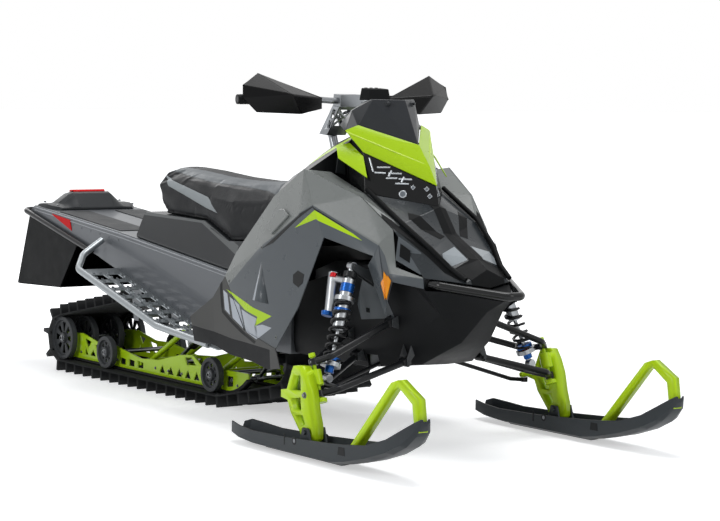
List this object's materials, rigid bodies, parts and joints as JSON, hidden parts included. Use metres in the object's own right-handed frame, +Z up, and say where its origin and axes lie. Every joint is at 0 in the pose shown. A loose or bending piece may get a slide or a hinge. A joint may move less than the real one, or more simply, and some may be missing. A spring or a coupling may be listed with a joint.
{
  "type": "snowmobile",
  "caption": "Trail snowmobile with a long lugged track, two steered skis on wishbone arms, faceted grey and lime body, raised handlebar with hand guards and a short black seat.",
  "frame": {"origin": "on the ground, at the middle of the machine's bounding box seen from above", "axes": "+X points forward to the ski tips, +Y to the rider's left, +Z up; the length along X is the longest"},
  "size_m": [3.3, 1.178, 1.243],
  "materials": {
    "track_rubber": "matte moulded rubber",
    "wheel_plastic": "matte black moulded plastic with a rubber edge",
    "axle_steel": "plain steel",
    "lime_paint": "lime green powder coat",
    "runner_plastic": "waxy plastic",
    "tunnel_metal": "gunmetal anodised aluminium",
    "board_metal": "bare aluminium",
    "black_tube": "satin black powder coat",
    "flap_rubber": "matte rubber",
    "tank_plastic": "dark grey moulded plastic",
    "seat_cover": "black and grey vinyl seat cover",
    "pod_plastic": "dark grey moulded plastic",
    "red_lens": "clear red plastic",
    "amber_lens": "clear amber plastic",
    "panel_grey": "grey painted plastic in two shades",
    "hood_plastic": "dark grey glossy plastic",
    "lamp_plastic": "black housing with bright reflectors",
    "lime_plastic": "lime green moulded plastic",
    "belly_plastic": "black moulded plastic",
    "engine_metal": "cast aluminium",
    "shock_metal": "clear anodised aluminium with blue fittings",
    "spring_steel": "black coated spring steel",
    "ski_plastic": "grey-black plastic",
    "edge_steel": "hardened steel",
    "grip_rubber": "soft rubber",
    "riser_metal": "bright forged aluminium"
  },
  "bodies": {
    "chassis": {"track": "track_rubber", "rear_wheels": "wheel_plastic", "idler_wheels": "wheel_plastic", "skid_axles": "axle_steel", "skid_rails": "lime_paint", "slide_runners": "runner_plastic", "tunnel": "tunnel_metal", "running_boards": "board_metal", "front_swing_arm": "lime_paint", "rear_swing_arm": "black_tube", "skid_shocks": "shock_metal", "torsion_springs": "spring_steel", "rear_bumper": "black_tube", "snow_flap": "flap_rubber", "tail_pod": "pod_plastic", "tail_lenses": "red_lens", "fuel_tank": "tank_plastic", "seat": "seat_cover", "console": "tank_plastic", "right_side_panel": "panel_grey", "left_side_panel": "panel_grey", "hood": "hood_plastic", "headlamp": "lamp_plastic", "cowl": "hood_plastic", "visor": "lime_plastic", "cheek_panels": "lime_plastic", "belly_pan": "belly_plastic", "engine": "engine_metal", "footwell_guards": "belly_plastic", "nose_grille": "belly_plastic", "front_bumper": "black_tube", "hood_strakes": "belly_plastic", "side_markers": "amber_lens", "gauge": "pod_plastic", "bulkhead": "black_tube", "upper_arms": "black_tube", "lower_arms": "black_tube", "front_shocks": "shock_metal", "front_springs": "spring_steel", "drive_sprockets": "runner_plastic"},
    "handlebar_body": {"steering_riser": "riser_metal", "handlebar": "black_tube", "grips": "grip_rubber", "hand_guards": "belly_plastic"},
    "right_spindle_body": {"right_spindle": "lime_paint"},
    "left_spindle_body": {"left_spindle": "lime_paint"},
    "right_ski_body": {"right_ski": "ski_plastic", "right_ski_loop": "lime_plastic", "right_ski_runner": "edge_steel"},
    "left_ski_body": {"left_ski": "ski_plastic", "left_ski_loop": "lime_plastic", "left_ski_runner": "edge_steel"},
    "right_tie_rod_body": {"right_tie_rod": "black_tube"},
    "left_tie_rod_body": {"left_tie_rod": "black_tube"}
  },
  "joints": [
    {"name": "bar_steer", "type": "hinge", "parent": "chassis", "child": "handlebar_body", "pos_m": [0.378, 0, 1.034], "axis": [-0.3584, 0, 0.9336], "range_deg": [-28, 28]},
    {"name": "right_ski_steer", "type": "hinge", "parent": "chassis", "child": "right_spindle_body", "pos_m": [1.03, -0.486, 0.205], "axis": [-0.3714, 0, 0.9285], "range_deg": [-28, 28]},
    {"name": "right_ski_rock", "type": "hinge", "parent": "right_spindle_body", "child": "right_ski_body", "pos_m": [1.053, -0.524, 0.088], "axis": [0, 1, 0], "range_deg": [-18, 12]},
    {"name": "right_tie_slide", "type": "slide", "parent": "chassis", "child": "right_tie_rod_body", "axis": [0, 1, 0], "range_m": [-0.06, 0.06]},
    {"name": "left_ski_steer", "type": "hinge", "parent": "chassis", "child": "left_spindle_body", "pos_m": [1.03, 0.486, 0.205], "axis": [-0.3714, 0, 0.9285], "range_deg": [-28, 28]},
    {"name": "left_ski_rock", "type": "hinge", "parent": "left_spindle_body", "child": "left_ski_body", "pos_m": [1.053, 0.524, 0.088], "axis": [0, 1, 0], "range_deg": [-18, 12]},
    {"name": "left_tie_slide", "type": "slide", "parent": "chassis", "child": "left_tie_rod_body", "axis": [0, 1, 0], "range_m": [-0.06, 0.06]}
  ],
  "couplings": [
    {"joint": "right_ski_steer", "follows": "bar_steer", "ratio": 1},
    {"joint": "right_tie_slide", "follows": "bar_steer", "m_per_rad": -0.119},
    {"joint": "left_ski_steer", "follows": "bar_steer", "ratio": 1},
    {"joint": "left_tie_slide", "follows": "bar_steer", "m_per_rad": -0.119}
  ]
}
